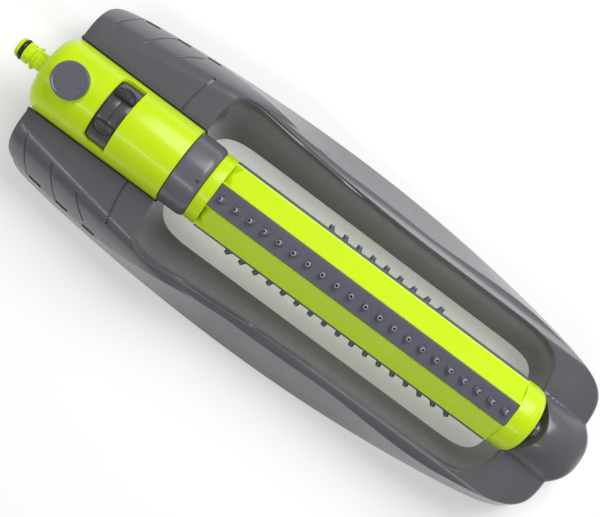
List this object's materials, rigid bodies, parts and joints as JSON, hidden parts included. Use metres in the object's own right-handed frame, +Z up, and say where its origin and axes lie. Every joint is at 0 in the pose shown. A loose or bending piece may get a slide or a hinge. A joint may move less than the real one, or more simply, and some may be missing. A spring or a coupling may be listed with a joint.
{
  "type": "oscillating lawn sprinkler",
  "caption": "Oscillating lawn sprinkler: low grey sled base, green water motor barrel with range sliders and flow knob, and a turning spray bar with four nozzle rows.",
  "frame": {"origin": "middle of the footprint, on the ground", "axes": "+X along the spray bar, away from the hose inlet; +Z up"},
  "size_m": [0.5034, 0.174, 0.0857],
  "materials": {
    "grey_shell": "satin moulded grey plastic",
    "grey_trim": "satin moulded grey plastic",
    "nozzle_grey": "matt grey elastomer",
    "lime_shell": "glossy lime plastic",
    "dark_gloss": "glossy dark grey plastic",
    "dark_plastic": "matt dark plastic",
    "white_plastic": "white acetal",
    "black_rubber": "matt black rubber",
    "steel": "drawn steel"
  },
  "bodies": {
    "base": {"base_frame": "grey_shell", "barrel_housing": "lime_shell", "inlet_nipple": "lime_shell", "inlet_o_ring": "black_rubber", "inlet_filter": "white_plastic", "valve_body": "dark_plastic", "jet_plate": "dark_plastic", "gear_pins": "steel", "gear_case": "dark_plastic", "shaft_seal": "black_rubber", "front_bearing": "dark_plastic", "tail_pin": "steel", "housing_screws": "steel"},
    "flow_valve": {"flow_knob": "grey_trim", "valve_plug": "white_plastic", "plug_o_ring": "black_rubber"},
    "reversing_flap": {"reversing_flap": "white_plastic", "toggle_spring": "steel"},
    "turbine": {"turbine_wheel": "white_plastic"},
    "idler": {"idler_gear": "white_plastic"},
    "reduction": {"reduction_gear": "white_plastic"},
    "swing_drive": {"output_gear": "white_plastic", "output_shaft": "dark_plastic", "collar": "grey_trim", "collar_gasket": "black_rubber", "index_spring": "steel"},
    "rear_ring": {"rear_range_ring": "dark_gloss"},
    "front_ring": {"front_range_ring": "dark_gloss"},
    "spray_bar": {"drum_body": "lime_shell", "top_nozzle_strip": "nozzle_grey", "left_nozzle_strip": "nozzle_grey", "right_nozzle_strip": "nozzle_grey", "under_nozzle_strip": "nozzle_grey", "end_cap": "lime_shell", "tail_bush": "white_plastic"}
  },
  "joints": [
    {"name": "bar_swing", "type": "hinge", "parent": "base", "child": "swing_drive", "pos_m": [0, 0, 0.048], "axis": [1, 0, 0], "range_deg": [-51, 39]},
    {"name": "row_select", "type": "hinge", "parent": "swing_drive", "child": "spray_bar", "pos_m": [0, 0, 0.048], "axis": [1, 0, 0], "continuous": true},
    {"name": "reduction_spin", "type": "hinge", "parent": "base", "child": "reduction", "pos_m": [-0.16905, -0.012, 0.048], "axis": [1, 0, 0], "range_deg": [-117, 153]},
    {"name": "idler_spin", "type": "hinge", "parent": "base", "child": "idler", "pos_m": [-0.16905, 0, 0.048], "axis": [1, 0, 0], "range_deg": [-459, 351]},
    {"name": "turbine_spin", "type": "hinge", "parent": "base", "child": "turbine", "pos_m": [-0.16905, 0.012, 0.048], "axis": [1, 0, 0], "range_deg": [-1053, 1377]},
    {"name": "flap_flip", "type": "hinge", "parent": "base", "child": "reversing_flap", "pos_m": [-0.18405, 0, 0.048], "axis": [1, 0, 0], "range_deg": [-8, 8]},
    {"name": "flow_turn", "type": "hinge", "parent": "base", "child": "flow_valve", "pos_m": [-0.20275, 0, 0.048], "axis": [0, 0, 1], "range_deg": [0, 90]},
    {"name": "rear_range_slide", "type": "hinge", "parent": "base", "child": "rear_ring", "pos_m": [-0.16965, 0, 0.048], "axis": [1, 0, 0], "range_deg": [-14, 25]},
    {"name": "front_range_slide", "type": "hinge", "parent": "base", "child": "front_ring", "pos_m": [-0.16965, 0, 0.048], "axis": [1, 0, 0], "range_deg": [-18, 21]}
  ],
  "couplings": [
    {"joint": "reduction_spin", "follows": "bar_swing", "ratio": -3},
    {"joint": "idler_spin", "follows": "bar_swing", "ratio": 9},
    {"joint": "turbine_spin", "follows": "bar_swing", "ratio": -27}
  ]
}
